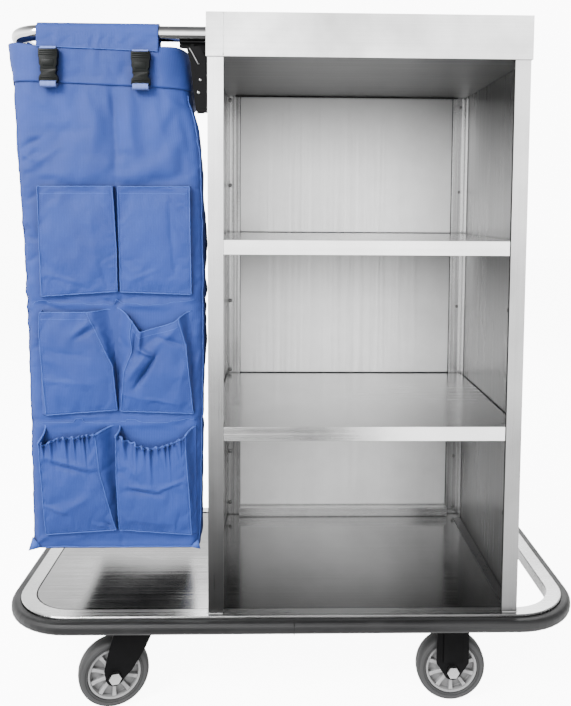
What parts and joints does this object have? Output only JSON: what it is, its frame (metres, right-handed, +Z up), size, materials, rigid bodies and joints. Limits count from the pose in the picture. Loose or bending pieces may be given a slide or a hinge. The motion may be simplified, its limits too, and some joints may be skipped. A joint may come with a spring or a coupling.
{
  "type": "housekeeping cart",
  "caption": "Stainless housekeeping cart: three-bay open cabinet with a top tray and a hanging pocketed laundry bag on a bumpered base with casters.",
  "frame": {"origin": "centre of the cart's footprint, on the floor", "axes": "+Z up, -Y towards the open front of the cabinet, -X towards the bag end"},
  "size_m": [1.045, 0.523, 1.2195],
  "materials": {
    "brushed_sheet": "brushed",
    "polished_tube": "polished",
    "bumper_rubber": "matte",
    "black_paint": "satin",
    "bag_cloth": "coated woven",
    "webbing": "woven",
    "buckle_plastic": "moulded",
    "caster_paint": "satin",
    "zinc": "zinc plated",
    "rim_plastic": "moulded",
    "tyre_rubber": "matte"
  },
  "bodies": {
    "cart": {"frame_tube": "brushed_sheet", "deck_sheet": "brushed_sheet", "caster_beam_left": "brushed_sheet", "caster_beam_right": "brushed_sheet", "post_front_left": "brushed_sheet", "post_front_right": "brushed_sheet", "post_rear_left": "brushed_sheet", "post_rear_right": "brushed_sheet", "side_panel_left": "brushed_sheet", "side_panel_right": "brushed_sheet", "back_panel": "brushed_sheet", "back_sill": "brushed_sheet", "shelf_upper": "brushed_sheet", "shelf_lower": "brushed_sheet", "top_tray": "brushed_sheet", "tray_end_left": "brushed_sheet", "bag_hoop": "polished_tube", "frame_bumper": "bumper_rubber", "bracket_leaf_front": "black_paint", "bracket_leaf_rear": "black_paint", "bracket_arm_front": "black_paint", "bracket_arm_rear": "black_paint", "bracket_brace_front": "black_paint", "bracket_brace_rear": "black_paint", "bag_body": "bag_cloth", "bag_flap_front": "bag_cloth", "bag_flap_rear": "bag_cloth", "pocket_r1_left": "bag_cloth", "pocket_r1_right": "bag_cloth", "pocket_r2_left": "bag_cloth", "pocket_r2_right": "bag_cloth", "pocket_r3_left": "bag_cloth", "pocket_r3_right": "bag_cloth", "strap_upper_left": "webbing", "strap_upper_right": "webbing", "buckle_socket_left": "buckle_plastic", "buckle_socket_right": "buckle_plastic", "swivel_front_plate": "caster_paint", "swivel_rear_plate": "caster_paint", "fixed_front_fork": "caster_paint", "fixed_front_axle": "zinc", "fixed_rear_fork": "caster_paint", "fixed_rear_axle": "zinc"},
    "buckle_left": {"buckle_plug_left": "buckle_plastic", "strap_lower_left": "webbing"},
    "buckle_right": {"buckle_plug_right": "buckle_plastic", "strap_lower_right": "webbing"},
    "swivel_front": {"swivel_front_fork": "caster_paint", "swivel_front_axle": "zinc"},
    "swivel_front_wheel": {"swivel_front_rim": "rim_plastic", "swivel_front_tyre": "tyre_rubber"},
    "swivel_rear": {"swivel_rear_fork": "caster_paint", "swivel_rear_axle": "zinc"},
    "swivel_rear_wheel": {"swivel_rear_rim": "rim_plastic", "swivel_rear_tyre": "tyre_rubber"},
    "fixed_front_wheel": {"fixed_front_rim": "rim_plastic", "fixed_front_tyre": "tyre_rubber"},
    "fixed_rear_wheel": {"fixed_rear_rim": "rim_plastic", "fixed_rear_tyre": "tyre_rubber"}
  },
  "joints": [
    {"name": "swivel_front_turn", "type": "hinge", "parent": "cart", "child": "swivel_front", "pos_m": [-0.288, -0.197, 0.1425], "axis": [0, 0, 1], "continuous": true},
    {"name": "swivel_front_roll", "type": "hinge", "parent": "swivel_front", "child": "swivel_front_wheel", "pos_m": [-0.32338, -0.20782, 0.0625], "axis": [-0.2924, 0.9563, 0], "continuous": true},
    {"name": "swivel_rear_turn", "type": "hinge", "parent": "cart", "child": "swivel_rear", "pos_m": [-0.288, 0.197, 0.1425], "axis": [0, 0, 1], "continuous": true},
    {"name": "swivel_rear_roll", "type": "hinge", "parent": "swivel_rear", "child": "swivel_rear_wheel", "pos_m": [-0.32472, 0.20151, 0.0625], "axis": [0.1219, 0.9925, 0], "continuous": true},
    {"name": "fixed_front_roll", "type": "hinge", "parent": "cart", "child": "fixed_front_wheel", "pos_m": [0.287, -0.197, 0.0625], "axis": [0, 1, 0], "continuous": true},
    {"name": "fixed_rear_roll", "type": "hinge", "parent": "cart", "child": "fixed_rear_wheel", "pos_m": [0.287, 0.197, 0.0625], "axis": [0, 1, 0], "continuous": true},
    {"name": "buckle_left_release", "type": "slide", "parent": "cart", "child": "buckle_left", "axis": [0, 0, -1], "range_m": [0, 0.028]},
    {"name": "buckle_right_release", "type": "slide", "parent": "cart", "child": "buckle_right", "axis": [0, 0, -1], "range_m": [0, 0.028]}
  ]
}
